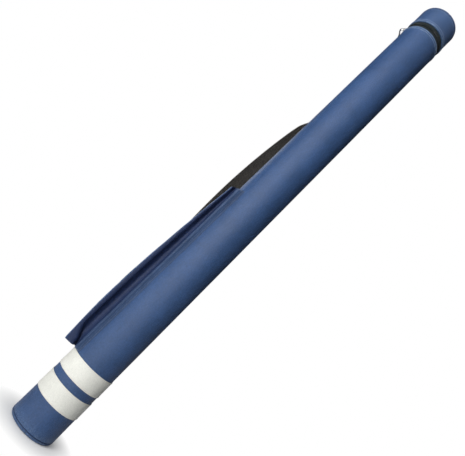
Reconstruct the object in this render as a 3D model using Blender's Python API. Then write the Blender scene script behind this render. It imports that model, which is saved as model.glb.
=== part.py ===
"""Hard carry case for a telescope: a padded tube with a zipped, hinged lid.

The case stands upright.  The origin is the centre of the base, +Z runs along
the tube towards the lid, -Y is the front and the side pocket is on -X.
Angles around the tube are measured from the front, turning towards the pocket.
"""

import math

import bmesh
import bpy
from mathutils import Matrix, Vector

# Case shells, from the outside in (metres)
CASE_LENGTH = 1.300
OUTER_RADIUS = 0.0500
LEATHER = 0.0017
PADDING = 0.0008
TUBE_WALL = 0.0020
LINING = 0.0010
GAP = 0.0003
SEGMENTS = 40

SLEEVE_INNER = OUTER_RADIUS - LEATHER
PADDING_OUTER = SLEEVE_INNER - GAP
PADDING_INNER = PADDING_OUTER - PADDING
TUBE_OUTER = PADDING_INNER - GAP
TUBE_INNER = TUBE_OUTER - TUBE_WALL
LINING_OUTER = TUBE_INNER - GAP
LINING_INNER = LINING_OUTER - LINING
PAD_RADIUS = LINING_INNER - GAP

# Both ends: a leather end panel, a piping bead and a rigid disc
END_CORNER = 0.0044
END_SKIN = 0.0015
END_DEPTH = 0.0052
PIPING_RADIUS = 0.0008
PIPING_SIT = 0.0494
DISC_RADIUS = 0.0460
DISC_THICKNESS = 0.0058
FOAM_PAD = 0.0097
SLEEVE_START = END_DEPTH + 2 * PIPING_RADIUS + 2 * GAP
TUBE_START = END_SKIN + DISC_THICKNESS + 2 * GAP

# Mouth and zip
ZIP_HEIGHT = 1.2270
COVER_SETBACK = 0.0105
TUBE_SETBACK = 0.0050
TAPE_WIDTH = 0.0172
TAPE_SETBACK = 0.0008
COIL_HEIGHT = 0.0012
COIL_THICKNESS = 0.0012
COIL_INNER = SLEEVE_INNER
BINDING_THICKNESS = 0.0012
HINGE_ANGLE = 135.0
HINGE_HALF_WIDTH = 25.5
HINGE_RADIUS = SLEEVE_INNER
TAPE_MARGIN = 1.0
STOP_WIDTH = 1.2

# Slider and its pull
SLIDER_ANGLE = 100.0
SLIDER_HALF_LENGTH = 6.4
SLIDER_HALF_HEIGHT = 0.0030
SLIDER_PLATE = 0.0012
SLIDER_OUTSIDE = 0.0502
SLIDER_INSIDE = 0.0468
POST_HALF_HEIGHT = 0.0004
POST_HALF_LENGTH = 2.0
BAIL_RADIUS = 0.0546
BAIL_ROD = 0.0005
BAIL_HALF_SPAN = 0.0040
RING_END_RADIUS = 0.0034
RING_WIRE = 0.0005
RING_STRAIGHT = 0.0030
RING_TILT = 35.0
PULL_TAB_SIZE = (0.0030, 0.0032, 0.0190)
PULL_TAB_LEAN = 0.0065

# Bands round the lower end
STRIPE_WIDTH = 0.0370
STRIPE_THICKNESS = 0.0006
STRIPE_STARTS = (0.0630, 0.1160)

# Side pocket
POCKET_BOTTOM = 0.1534
POCKET_TOP = 0.6070
POCKET_FLOOR = 0.0018
POCKET_SKIN = 0.0014
POCKET_PANEL_SKIN = 0.0018
POCKET_HEM = 0.0070
POCKET_LEVELS = 9
FLANGE_SKIN = 0.0012
FRONT_FLANGE = (46.0, 64.5)
REAR_FLANGE = (100.5, 110.0)

# Webbing strap
STRAP_ANGLE = 135.0
STRAP_WIDTH = 0.0400
STRAP_THICKNESS = 0.0018
STRAP_MIDDLE = 0.5980
STRAP_HALF_SPAN = 0.2700
STRAP_BOW = 0.0434
STRAP_FREE_BOW = 0.0080
STRAP_SEWN_LENGTH = 0.0450
STRAP_LEVELS = 22
TAIL_LEVELS = 6
TAIL_ACROSS = 8

MATERIALS = {
    "leather_blue": ((0.060, 0.105, 0.215), 0.45, 0.0),
    "leather_dark": ((0.020, 0.032, 0.070), 0.50, 0.0),
    "leather_white": ((0.820, 0.810, 0.750), 0.50, 0.0),
    "padding_foam": ((0.300, 0.300, 0.310), 0.95, 0.0),
    "tube_board": ((0.060, 0.060, 0.062), 0.60, 0.0),
    "lining_fleece": ((0.035, 0.036, 0.042), 0.95, 0.0),
    "binding_tape": ((0.012, 0.012, 0.014), 0.85, 0.0),
    "webbing_black": ((0.040, 0.036, 0.030), 0.85, 0.0),
    "zip_tape": ((0.010, 0.011, 0.013), 0.85, 0.0),
    "zip_coil": ((0.008, 0.008, 0.009), 0.35, 0.0),
    "slider_enamel": ((0.010, 0.010, 0.011), 0.30, 0.6),
    "steel_wire": ((0.620, 0.620, 0.600), 0.25, 1.0),
}


def clear_scene():
    for old in list(bpy.data.objects):
        bpy.data.objects.remove(old)


def make_material(name):
    colour, roughness, metallic = MATERIALS[name]
    made = bpy.data.materials.new(name)
    made.use_nodes = True
    surface = made.node_tree.nodes["Principled BSDF"]
    surface.inputs["Base Color"].default_value = (*colour, 1.0)
    surface.inputs["Roughness"].default_value = roughness
    surface.inputs["Metallic"].default_value = metallic
    return made


def outward(angle):
    """Unit vector away from the tube's axis at an angle from the front."""
    turn = math.radians(angle)
    return Vector((-math.sin(turn), -math.cos(turn), 0.0))


def along(angle):
    """Unit vector round the tube, towards larger angles."""
    turn = math.radians(angle)
    return Vector((-math.cos(turn), math.sin(turn), 0.0))


def at(radius, angle, height):
    return outward(angle) * radius + Vector((0.0, 0.0, height))


def add_pivot(name, place):
    pivot = bpy.data.objects.new(name, None)
    pivot.location = place
    pivot.empty_display_size = 0.02
    bpy.context.scene.collection.objects.link(pivot)
    bpy.context.view_layer.update()
    return pivot


def add_piece(name, shape, material, pivot=None):
    """Turn a bmesh into a named object, hung on its pivot when it moves."""
    bmesh.ops.recalc_face_normals(shape, faces=shape.faces)
    mesh = bpy.data.meshes.new(name)
    shape.to_mesh(mesh)
    shape.free()
    mesh.shade_smooth()
    mesh.set_sharp_from_angle(angle=math.radians(35))
    mesh.materials.append(material)
    piece = bpy.data.objects.new(name, mesh)
    bpy.context.scene.collection.objects.link(piece)
    if pivot:
        piece.parent = pivot
        piece.matrix_parent_inverse = pivot.matrix_world.inverted()
    return piece


def turned(profile, start=None, end=None):
    """Spin a closed (radius, height) profile round the axis, fully or between two angles."""
    shape = bmesh.new()
    whole = start is None
    first = 0.0 if whole else start
    corners = [shape.verts.new(at(radius, first, height)) for radius, height in profile]
    if whole:
        seed = [shape.edges.new((corners[i], corners[i - 1])) for i in range(len(corners))]
        steps, sweep = SEGMENTS, 360.0
    else:
        seed = [shape.faces.new(corners)]
        sweep = end - start
        steps = max(2, round(SEGMENTS * sweep / 360.0))
    bmesh.ops.spin(shape, geom=seed, cent=(0, 0, 0), axis=(0, 0, -1),
                   angle=math.radians(sweep), steps=steps, use_merge=whole)
    bmesh.ops.remove_doubles(shape, verts=shape.verts, dist=1e-7)
    return shape


def tube_wall(inner, outer, low, high, start=None, end=None):
    return turned([(inner, low), (outer, low), (outer, high), (inner, high)], start, end)


def round_slab(radius, low, high):
    """A solid disc across the axis."""
    shape = bmesh.new()
    lower = bmesh.ops.create_circle(shape, segments=SEGMENTS, radius=radius, cap_ends=True)
    bmesh.ops.rotate(shape, verts=lower["verts"], matrix=quarter_turn())
    bmesh.ops.translate(shape, verts=lower["verts"], vec=(0, 0, low))
    grown = bmesh.ops.extrude_face_region(shape, geom=shape.faces[:])
    raised = [item for item in grown["geom"] if isinstance(item, bmesh.types.BMVert)]
    bmesh.ops.translate(shape, verts=raised, vec=(0, 0, high - low))
    return shape


def quarter_turn():
    """Lines the circle's corners up with the corners of turned shapes."""
    return Matrix.Rotation(math.radians(-90.0), 3, "Z")


def skinned(sections, loop=False):
    """Join matching outlines into one closed body, capped unless they form a loop."""
    shape = bmesh.new()
    rings = [[shape.verts.new(point) for point in section] for section in sections]
    count = len(rings[0])
    pairs = list(zip(rings, rings[1:]))
    if loop:
        pairs.append((rings[-1], rings[0]))
    else:
        shape.faces.new(rings[0])
        shape.faces.new(rings[-1])
    for low, high in pairs:
        for i in range(count):
            shape.faces.new((low[i], low[i - 1], high[i - 1], high[i]))
    return shape


def rod(path, normal, radius, loop=False, sides=8):
    """Sweep a round wire along a flat path whose plane has the given normal."""
    sections = []
    last = len(path) - 1
    for i, point in enumerate(path):
        before = path[i - 1] if loop or i else point
        after = path[(i + 1) % len(path)] if loop or i < last else point
        side = (after - before).normalized().cross(normal)
        turns = [2 * math.pi * step / sides for step in range(sides)]
        sections.append([point + radius * (math.cos(t) * side + math.sin(t) * normal) for t in turns])
    return skinned(sections, loop)


def corner_arc(radius, centre_radius, centre_height, start, end, steps=4):
    """Points of a quarter arc in the (radius, height) plane."""
    points = []
    for step in range(steps + 1):
        turn = math.radians(start + (end - start) * step / steps)
        points.append((centre_radius + radius * math.cos(turn), centre_height + radius * math.sin(turn)))
    return points


def end_panel_profile():
    """Leather end panel of the base: a shallow cup with a rounded corner."""
    rim = OUTER_RADIUS - GAP
    flat = rim - END_CORNER
    outer = corner_arc(END_CORNER, flat, END_CORNER, -90.0, 0.0)
    inner = corner_arc(END_CORNER - END_SKIN, flat, END_CORNER, 0.0, -90.0)
    return [(0.0, 0.0)] + outer + [(rim, END_DEPTH), (rim - END_SKIN, END_DEPTH)] + inner + [(0.0, END_SKIN)]


def turned_open(profile, flip_height=None):
    """Spin an open profile that starts and ends on the axis; optionally upside down at the far end."""
    shape = bmesh.new()
    placed = [(r, z if flip_height is None else flip_height - z) for r, z in profile]
    corners = [shape.verts.new(at(radius, 0.0, height)) for radius, height in placed]
    seed = [shape.edges.new(pair) for pair in zip(corners, corners[1:])]
    bmesh.ops.spin(shape, geom=seed, cent=(0, 0, 0), axis=(0, 0, -1),
                   angle=2 * math.pi, steps=SEGMENTS, use_merge=True)
    bmesh.ops.remove_doubles(shape, verts=shape.verts, dist=1e-7)
    return shape


def piping_ring(height):
    circle = corner_arc(PIPING_RADIUS, PIPING_SIT, height, 0.0, 315.0, steps=7)
    return turned(circle)


def pocket_share(height):
    return (height - POCKET_BOTTOM) / (POCKET_TOP - POCKET_BOTTOM)


def mix(low, high, share):
    return low + (high - low) * share


def pocket_outset(height):
    """How far the pocket's outer panel stands from the axis: bellied low, slim at the mouth."""
    share = max(0.0, pocket_share(height))
    return mix(0.0740, 0.0635, share) + 0.0090 * math.sin(math.pi * share ** 0.75)


def front_gusset_line(height):
    share = max(0.0, pocket_share(height)) ** 2
    edge = pocket_outset(height) - 0.0024
    ridge = (-mix(0.0478, 0.0506, share), -mix(0.0208, 0.0172, share))
    pleat = (-mix(0.0645, 0.0572, share), -mix(0.0088, 0.0098, share))
    fold = (-edge, -mix(0.0228, 0.0172, share))
    return [ridge, pleat, fold]


def rear_gusset_line(height):
    share = max(0.0, pocket_share(height)) ** 2
    edge = pocket_outset(height) - 0.0034
    return [(-edge, 0.0112), (-mix(0.0630, 0.0570, share), 0.0068), (-0.0522, 0.0092)]


def panel_line(height):
    share = max(0.0, pocket_share(height)) ** 2
    edge = pocket_outset(height)
    front = -mix(0.0245, 0.0190, share)
    middle = (-edge - 0.0014, mix(front, 0.0125, 0.5))
    return [(-edge, front), middle, (-edge + 0.0008, 0.0128)]


def thick_line(line, thickness, height):
    """Outline of an open line with square ends, at one height."""
    points = [Vector((x, y, height)) for x, y in line]
    up = Vector((0.0, 0.0, 1.0))
    left, right = [], []
    for i, point in enumerate(points):
        before = (point - points[i - 1]).normalized() if i else None
        after = (points[i + 1] - point).normalized() if i < len(points) - 1 else None
        if before and after:
            direction = (before + after).normalized()
            spread = 1.0 / max(0.5, direction.dot(after))
        else:
            direction, spread = before or after, 1.0
        offset = up.cross(direction) * (thickness / 2 * spread)
        left.append(point + offset)
        right.append(point - offset)
    return left + right[::-1]


def levels(low, high, count):
    return [mix(low, high, step / (count - 1)) for step in range(count)]


def pocket_sheet(line, thickness, low, high, count):
    return skinned([thick_line(line(height), thickness, height) for height in levels(low, high, count)])


def strap_bow(height):
    """Distance of the strap's inner face from the sleeve."""
    away = min(1.0, abs(height - STRAP_MIDDLE) / STRAP_HALF_SPAN)
    return STRAP_BOW * (1.0 - away ** 1.8) ** 0.6


def free_half_length():
    """Half the length over which the strap stands clear enough to swing."""
    ratio = STRAP_FREE_BOW / STRAP_BOW
    return STRAP_HALF_SPAN * (1.0 - ratio ** (1 / 0.6)) ** (1 / 1.8)


def flat_strap_point(across, bow, depth):
    """A point of the strap where it stands free of the tube."""
    return outward(STRAP_ANGLE) * (OUTER_RADIUS + bow + depth) + along(STRAP_ANGLE) * across


def wrapped_strap_point(across, depth):
    """The same point where the strap is sewn down round the tube."""
    angle = STRAP_ANGLE + math.degrees(across / OUTER_RADIUS)
    return outward(angle) * (OUTER_RADIUS + GAP + depth)


def strap_section(height, wrap, steps):
    """Outline across the strap: flat when wrap is 0, moulded round the tube when it is 1."""
    outline = []
    for depth, order in ((0.0, 1), (STRAP_THICKNESS, -1)):
        for step in range(steps + 1)[::order]:
            across = STRAP_WIDTH * (step / steps - 0.5)
            flat = flat_strap_point(across, strap_bow(height), depth)
            point = flat.lerp(wrapped_strap_point(across, depth), wrap)
            outline.append(point + Vector((0.0, 0.0, height)))
    return outline


def strap_tail(side):
    """A sewn end of the strap; side is +1 for the upper one and -1 for the lower one."""
    rise = [free_half_length() + GAP, STRAP_HALF_SPAN, STRAP_HALF_SPAN + STRAP_SEWN_LENGTH]
    sections = []
    for reach in levels(rise[0], rise[1], TAIL_LEVELS):
        height = STRAP_MIDDLE + side * reach
        wrap = (1.0 - min(1.0, strap_bow(height) / STRAP_FREE_BOW)) ** 2
        sections.append(strap_section(height, wrap, TAIL_ACROSS))
    sections.append(strap_section(STRAP_MIDDLE + side * rise[2], 1.0, TAIL_ACROSS))
    return skinned(sections)


def build_base(paint):
    add_piece("base_panel", turned_open(end_panel_profile()), paint["leather_blue"])
    add_piece("base_piping", piping_ring(END_DEPTH + GAP + PIPING_RADIUS), paint["leather_dark"])
    disc_low = END_SKIN + GAP
    add_piece("base_disc", round_slab(DISC_RADIUS, disc_low, disc_low + DISC_THICKNESS), paint["tube_board"])
    pad_top = TUBE_START + FOAM_PAD
    add_piece("base_foam_pad", round_slab(PAD_RADIUS, TUBE_START, pad_top), paint["padding_foam"])
    cloth_low = pad_top + GAP
    add_piece("base_lining_disc", round_slab(PAD_RADIUS, cloth_low, cloth_low + LINING), paint["lining_fleece"])


def build_body(paint):
    cover_top = ZIP_HEIGHT - COVER_SETBACK
    tube_top = ZIP_HEIGHT - TUBE_SETBACK
    tape_low = ZIP_HEIGHT - TAPE_SETBACK - TAPE_WIDTH
    add_piece("body_sleeve", tube_wall(SLEEVE_INNER, OUTER_RADIUS, SLEEVE_START, cover_top),
              paint["leather_blue"])
    add_piece("body_padding", tube_wall(PADDING_INNER, PADDING_OUTER, TUBE_START, tape_low - GAP),
              paint["padding_foam"])
    add_piece("body_tube", tube_wall(TUBE_INNER, TUBE_OUTER, TUBE_START, tube_top), paint["tube_board"])
    add_piece("body_lining", tube_wall(LINING_INNER, LINING_OUTER, TUBE_START, tube_top), paint["lining_fleece"])
    add_piece("mouth_binding",
              tube_wall(LINING_INNER, TUBE_OUTER, tube_top + GAP, tube_top + GAP + BINDING_THICKNESS),
              paint["binding_tape"])
    for name, low in zip(("stripe_lower", "stripe_upper"), STRIPE_STARTS):
        band = tube_wall(OUTER_RADIUS + GAP, OUTER_RADIUS + GAP + STRIPE_THICKNESS, low, low + STRIPE_WIDTH)
        add_piece(name, band, paint["leather_white"])


def build_zip_half(paint, side, pivot=None):
    """One side of the zip and of the fabric hinge; side is -1 on the body and +1 on the lid."""
    word = "upper" if side > 0 else "lower"
    near = HINGE_ANGLE - HINGE_HALF_WIDTH
    far = HINGE_ANGLE + HINGE_HALF_WIDTH
    edge = ZIP_HEIGHT + side * TAPE_SETBACK
    low, high = sorted((edge, edge + side * TAPE_WIDTH))
    tape = tube_wall(PADDING_INNER, PADDING_OUTER, low, high, far - 360.0, near - TAPE_MARGIN)
    add_piece("zip_tape_" + word, tape, paint["zip_tape"], pivot)
    leaf = tube_wall(PADDING_INNER, PADDING_OUTER, low, high, near, far - TAPE_MARGIN)
    add_piece("hinge_leaf_" + word, leaf, paint["leather_dark"], pivot)
    low, high = sorted((edge, edge + side * COIL_HEIGHT))
    coil_ends = (far - 360.0 + STOP_WIDTH + TAPE_MARGIN, near - 2 * TAPE_MARGIN - STOP_WIDTH)
    coil = tube_wall(COIL_INNER, COIL_INNER + COIL_THICKNESS, low, high, *coil_ends)
    add_piece("zip_coil_" + word, coil, paint["zip_coil"], pivot)
    return low, high, coil_ends


def build_zip(paint):
    low, high, coil_ends = build_zip_half(paint, -1)
    clearance = math.degrees(GAP / COIL_INNER)
    stops = {
        "zip_stop_near": (coil_ends[1] + clearance, coil_ends[1] + clearance + STOP_WIDTH),
        "zip_stop_far": (coil_ends[0] - clearance - STOP_WIDTH, coil_ends[0] - clearance),
    }
    for name, ends in stops.items():
        stop = tube_wall(COIL_INNER, COIL_INNER + COIL_THICKNESS, low, high, *ends)
        add_piece(name, stop, paint["steel_wire"])


def slider_body():
    """Two curved plates joined by a post that runs between the two rows of coil."""
    low, high = ZIP_HEIGHT - SLIDER_HALF_HEIGHT, ZIP_HEIGHT + SLIDER_HALF_HEIGHT
    post_low, post_high = ZIP_HEIGHT - POST_HALF_HEIGHT, ZIP_HEIGHT + POST_HALF_HEIGHT
    inner, outer = SLIDER_INSIDE - SLIDER_PLATE, SLIDER_OUTSIDE + SLIDER_PLATE
    profile = [(inner, low), (SLIDER_INSIDE, low), (SLIDER_INSIDE, post_low), (SLIDER_OUTSIDE, post_low),
               (SLIDER_OUTSIDE, low), (outer, low), (outer, high), (SLIDER_OUTSIDE, high),
               (SLIDER_OUTSIDE, post_high), (SLIDER_INSIDE, post_high), (SLIDER_INSIDE, high), (inner, high)]
    return turned(profile, SLIDER_ANGLE - SLIDER_HALF_LENGTH, SLIDER_ANGLE + SLIDER_HALF_LENGTH)


def build_slider(paint, slider_pivot, pull_pivot):
    add_piece("zip_slider", slider_body(), paint["slider_enamel"], slider_pivot)

    out, round_tube = outward(SLIDER_ANGLE), along(SLIDER_ANGLE)
    bar = at(BAIL_RADIUS, SLIDER_ANGLE, ZIP_HEIGHT)
    foot = SLIDER_OUTSIDE + SLIDER_PLATE + GAP + 0.0002
    drop = out * (BAIL_RADIUS - foot)
    reach = round_tube * BAIL_HALF_SPAN
    bend = 0.7
    bail_path = [bar - reach - drop, bar - reach - drop * (1 - bend), bar - reach * bend,
                 bar + reach * bend, bar + reach - drop * (1 - bend), bar + reach - drop]
    add_piece("slider_bail", rod(bail_path, Vector((0, 0, 1)), BAIL_ROD), paint["slider_enamel"], slider_pivot)

    tilt = math.radians(RING_TILT)
    hang = out * math.sin(tilt) - Vector((0, 0, 1)) * math.cos(tilt)
    across = out * math.cos(tilt) + Vector((0, 0, 1)) * math.sin(tilt)
    top = bar + hang * (RING_END_RADIUS - BAIL_ROD - RING_WIRE - GAP)
    bottom = top + hang * RING_STRAIGHT
    ring_path = []
    for centre, start in ((top, 0.0), (bottom, math.pi)):
        for step in range(7):
            turn = start + math.pi * step / 6
            ring_path.append(centre + RING_END_RADIUS * (math.cos(turn) * across - math.sin(turn) * hang))
    add_piece("pull_ring", rod(ring_path, round_tube, RING_WIRE, loop=True), paint["steel_wire"], pull_pivot)

    lowest = bottom + hang * (RING_END_RADIUS + RING_WIRE + GAP)
    width, depth = (side * PULL_TAB_SIZE[axis] / 2 for axis, side in enumerate((across, round_tube)))
    length = Vector((0, 0, -PULL_TAB_SIZE[2])) - out * PULL_TAB_LEAN
    outline = [lowest + sign_w * width + sign_d * depth
               for sign_w, sign_d in ((-1, -1), (1, -1), (1, 1), (-1, 1))]
    add_piece("pull_tab", skinned([outline, [point + length for point in outline]]),
              paint["leather_dark"], pull_pivot)


def build_lid(paint, pivot):
    disc_low = CASE_LENGTH - END_SKIN - GAP - DISC_THICKNESS
    tube_low, tube_top = ZIP_HEIGHT + TUBE_SETBACK, CASE_LENGTH - TUBE_START
    add_piece("lid_cover", tube_wall(SLEEVE_INNER, OUTER_RADIUS, ZIP_HEIGHT + COVER_SETBACK,
                                     CASE_LENGTH - SLEEVE_START), paint["leather_blue"], pivot)
    add_piece("lid_end_panel", turned_open(end_panel_profile(), CASE_LENGTH), paint["leather_blue"], pivot)
    add_piece("lid_piping", piping_ring(CASE_LENGTH - END_DEPTH - GAP - PIPING_RADIUS),
              paint["leather_dark"], pivot)
    add_piece("lid_disc", round_slab(DISC_RADIUS, disc_low, disc_low + DISC_THICKNESS),
              paint["tube_board"], pivot)
    add_piece("lid_tube", tube_wall(TUBE_INNER, TUBE_OUTER, tube_low, tube_top), paint["tube_board"], pivot)
    padding_low = ZIP_HEIGHT + TAPE_SETBACK + TAPE_WIDTH + GAP
    add_piece("lid_padding", tube_wall(PADDING_INNER, PADDING_OUTER, padding_low, tube_top),
              paint["padding_foam"], pivot)
    pad_low = tube_top - FOAM_PAD
    add_piece("lid_foam_pad", round_slab(PAD_RADIUS, pad_low, tube_top), paint["padding_foam"], pivot)
    cloth_low = pad_low - GAP - LINING
    add_piece("lid_lining_disc", round_slab(PAD_RADIUS, cloth_low, cloth_low + LINING),
              paint["lining_fleece"], pivot)
    add_piece("lid_lining", tube_wall(LINING_INNER, LINING_OUTER, tube_low, tube_top),
              paint["lining_fleece"], pivot)
    add_piece("lid_mouth_binding",
              tube_wall(LINING_INNER, TUBE_OUTER, tube_low - GAP - BINDING_THICKNESS, tube_low - GAP),
              paint["binding_tape"], pivot)
    build_zip_half(paint, +1, pivot)


def build_pocket(paint):
    skin_low = POCKET_BOTTOM + POCKET_FLOOR + GAP
    skin_high = POCKET_TOP - POCKET_HEM - GAP
    for name, ends in (("pocket_flange_front", FRONT_FLANGE), ("pocket_flange_rear", REAR_FLANGE)):
        flange = tube_wall(OUTER_RADIUS + GAP, OUTER_RADIUS + GAP + FLANGE_SKIN, POCKET_BOTTOM, POCKET_TOP, *ends)
        add_piece(name, flange, paint["leather_blue"])
    sheets = (("pocket_gusset_front", front_gusset_line, POCKET_SKIN, "leather_dark"),
              ("pocket_gusset_rear", rear_gusset_line, POCKET_SKIN, "leather_dark"),
              ("pocket_panel", panel_line, POCKET_PANEL_SKIN, "leather_blue"))
    for name, line, thickness, colour in sheets:
        add_piece(name, pocket_sheet(line, thickness, skin_low, skin_high, POCKET_LEVELS), paint[colour])

    floor_arc = [(0.0506 * outward(angle).x, 0.0506 * outward(angle).y) for angle in (99.0, 91.0, 83.0, 75.0, 67.0)]
    front, rear = front_gusset_line(skin_low), rear_gusset_line(skin_low)
    outline = floor_arc + front + [panel_line(skin_low)[1]] + rear[:2]
    heights = (POCKET_BOTTOM, POCKET_BOTTOM + POCKET_FLOOR)
    add_piece("pocket_floor", skinned([[Vector((x, y, height)) for x, y in outline] for height in heights]),
              paint["leather_dark"])

    def rim_line(height):
        return front_gusset_line(height)[:2] + panel_line(height) + rear_gusset_line(height)[1:]

    hem_levels = (POCKET_TOP - POCKET_HEM, POCKET_TOP)
    add_piece("pocket_hem", skinned([thick_line(rim_line(height), POCKET_PANEL_SKIN, height)
                                     for height in hem_levels]), paint["leather_blue"])


def build_strap(paint, pivot):
    reach = free_half_length() - GAP
    heights = levels(STRAP_MIDDLE - reach, STRAP_MIDDLE + reach, STRAP_LEVELS)
    span = skinned([strap_section(height, 0.0, 1) for height in heights])
    add_piece("strap_span", span, paint["webbing_black"], pivot)
    add_piece("strap_tail_upper", strap_tail(+1), paint["webbing_black"])
    add_piece("strap_tail_lower", strap_tail(-1), paint["webbing_black"])


def build_case():
    clear_scene()
    paint = {name: make_material(name) for name in MATERIALS}
    lid_pivot = add_pivot("lid_hinge", at(HINGE_RADIUS, HINGE_ANGLE, ZIP_HEIGHT))
    slider_pivot = add_pivot("zip_travel", (0.0, 0.0, ZIP_HEIGHT))
    pull_pivot = add_pivot("pull_swing", at(BAIL_RADIUS, SLIDER_ANGLE, ZIP_HEIGHT))
    strap_pivot = add_pivot("strap_swing", at(OUTER_RADIUS, STRAP_ANGLE, STRAP_MIDDLE))
    build_base(paint)
    build_body(paint)
    build_zip(paint)
    build_slider(paint, slider_pivot, pull_pivot)
    build_pocket(paint)
    build_strap(paint, strap_pivot)
    build_lid(paint, lid_pivot)


build_case()
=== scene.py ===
import math

import bmesh
import bpy
from mathutils import Matrix, Vector, noise


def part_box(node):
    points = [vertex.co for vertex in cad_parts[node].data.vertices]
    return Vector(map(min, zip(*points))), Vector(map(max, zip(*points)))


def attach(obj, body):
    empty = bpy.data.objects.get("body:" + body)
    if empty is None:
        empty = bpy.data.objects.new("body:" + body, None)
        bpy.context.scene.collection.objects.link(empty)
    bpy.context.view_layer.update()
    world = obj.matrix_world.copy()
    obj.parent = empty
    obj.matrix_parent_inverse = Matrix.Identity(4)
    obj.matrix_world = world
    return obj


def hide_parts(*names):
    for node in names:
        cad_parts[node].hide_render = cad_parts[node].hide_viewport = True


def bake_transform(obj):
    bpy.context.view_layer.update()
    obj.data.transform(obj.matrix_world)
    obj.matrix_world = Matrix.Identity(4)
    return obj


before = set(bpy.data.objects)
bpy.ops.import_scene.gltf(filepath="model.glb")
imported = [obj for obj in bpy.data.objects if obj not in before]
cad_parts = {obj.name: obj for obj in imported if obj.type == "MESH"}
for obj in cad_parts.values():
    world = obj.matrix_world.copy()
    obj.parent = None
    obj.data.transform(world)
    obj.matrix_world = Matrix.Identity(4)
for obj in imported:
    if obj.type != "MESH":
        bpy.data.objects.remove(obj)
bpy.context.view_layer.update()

# The case stands on its base: +Z runs up the tube to the lid, -Y is the front and the
# pocket is on -X.  Angles round the tube are measured from the front, towards the pocket.

MM = 0.001
ROUND_STEPS = 180
STITCH_PITCH = 3.6 * MM
STITCH_LENGTH = 2.7 * MM
THREAD_RADIUS = 0.32 * MM
THREAD_SINK = 0.05 * MM
HEAVY_THREAD = 1.7 * THREAD_RADIUS

STRAP_ANGLE = 135.0
SLIDER_ANGLE = 100.0
SEAM_ANGLE = 180.0
RING_TILT = 35.0


# ---------------------------------------------------------------- places round the tube

def outward(angle):
    """Unit vector away from the tube's axis."""
    turn = math.radians(angle)
    return Vector((-math.sin(turn), -math.cos(turn), 0.0))


def along(angle):
    """Unit vector round the tube, towards larger angles."""
    turn = math.radians(angle)
    return Vector((-math.cos(turn), math.sin(turn), 0.0))


def at(radius, angle, height):
    return outward(angle) * radius + Vector((0.0, 0.0, height))


def mix(low, high, share):
    return low + (high - low) * share


def smooth(low, high, value):
    share = min(1.0, max(0.0, (value - low) / (high - low)))
    return share * share * (3.0 - 2.0 * share)


def corners_of(node):
    return [Vector(vertex.co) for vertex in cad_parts[node].data.vertices]


def shell(node):
    """Inner radius, outer radius, lowest and highest point of a turned CAD node, in metres."""
    radii = [math.hypot(point.x, point.y) for point in corners_of(node)]
    heights = [point.z for point in corners_of(node)]
    return min(radii), max(radii), min(heights), max(heights)


# ---------------------------------------------------------------- node trees

class Wiring:
    """Adds nodes to one node tree and joins them."""

    def __init__(self, tree):
        self.tree = tree

    def add(self, kind, inputs=None, **settings):
        made = self.tree.nodes.new(kind)
        for name, value in settings.items():
            setattr(made, name, value)
        for key, value in (inputs or {}).items():
            self.feed(made.inputs[key], value)
        return made

    def feed(self, socket, value):
        if isinstance(value, bpy.types.NodeSocket):
            self.tree.links.new(value, socket)
        else:
            socket.default_value = value

    def math(self, operation, first, second=0.0, third=0.0):
        return self.add("ShaderNodeMath", {0: first, 1: second, 2: third}, operation=operation).outputs[0]

    def vector(self, operation, first, second=(0.0, 0.0, 0.0)):
        return self.add("ShaderNodeVectorMath", {0: first, 1: second}, operation=operation).outputs[0]

    def scaled(self, vector, share):
        return self.add("ShaderNodeVectorMath", {0: vector, "Scale": share}, operation="SCALE").outputs[0]

    def split(self, vector):
        return self.add("ShaderNodeSeparateXYZ", {0: vector}).outputs

    def combined(self, x=0.0, y=0.0, z=0.0):
        return self.add("ShaderNodeCombineXYZ", {0: x, 1: y, 2: z}).outputs[0]

    def remap(self, value, low, high, to_low=0.0, to_high=1.0):
        return self.add("ShaderNodeMapRange", {"Value": value, "From Min": low, "From Max": high,
                                               "To Min": to_low, "To Max": to_high}).outputs["Result"]

    def blend(self, share, first, second):
        return self.add("ShaderNodeMix", {0: share, 6: first, 7: second}, data_type="RGBA").outputs[2]

    def noise(self, place, scale, detail, roughness=0.5):
        return self.add("ShaderNodeTexNoise", {"Vector": place, "Scale": scale, "Detail": detail,
                                               "Roughness": roughness}).outputs

    def hand_out(self, geometry, material, out):
        """End a geometry tree with plain, painted geometry."""
        real = self.add("GeometryNodeRealizeInstances", {"Geometry": geometry})
        painted = self.add("GeometryNodeSetMaterial", {"Geometry": real.outputs[0], "Material": material})
        self.feed(out["Geometry"], painted.outputs[0])
        return self.tree


FLOAT, VECTOR = "NodeSocketFloat", "NodeSocketVector"
GEOMETRY, MATERIAL = "NodeSocketGeometry", "NodeSocketMaterial"


def new_tree(name, kind, inputs, outputs):
    """A node group: its wiring, its inputs and its outputs.  An input gives its value or its kind of socket."""
    tree = bpy.data.node_groups.new(name, kind + "NodeTree")
    for label, value in inputs.items():
        socket = {float: FLOAT, int: "NodeSocketInt"}.get(type(value), value)
        made = tree.interface.new_socket(label, in_out="INPUT", socket_type=socket)
        if socket != value:
            made.default_value = value
    for label, socket in outputs.items():
        tree.interface.new_socket(label, in_out="OUTPUT", socket_type=socket)
    wiring = Wiring(tree)
    return wiring, wiring.add("NodeGroupInput").outputs, wiring.add("NodeGroupOutput").inputs


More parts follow.
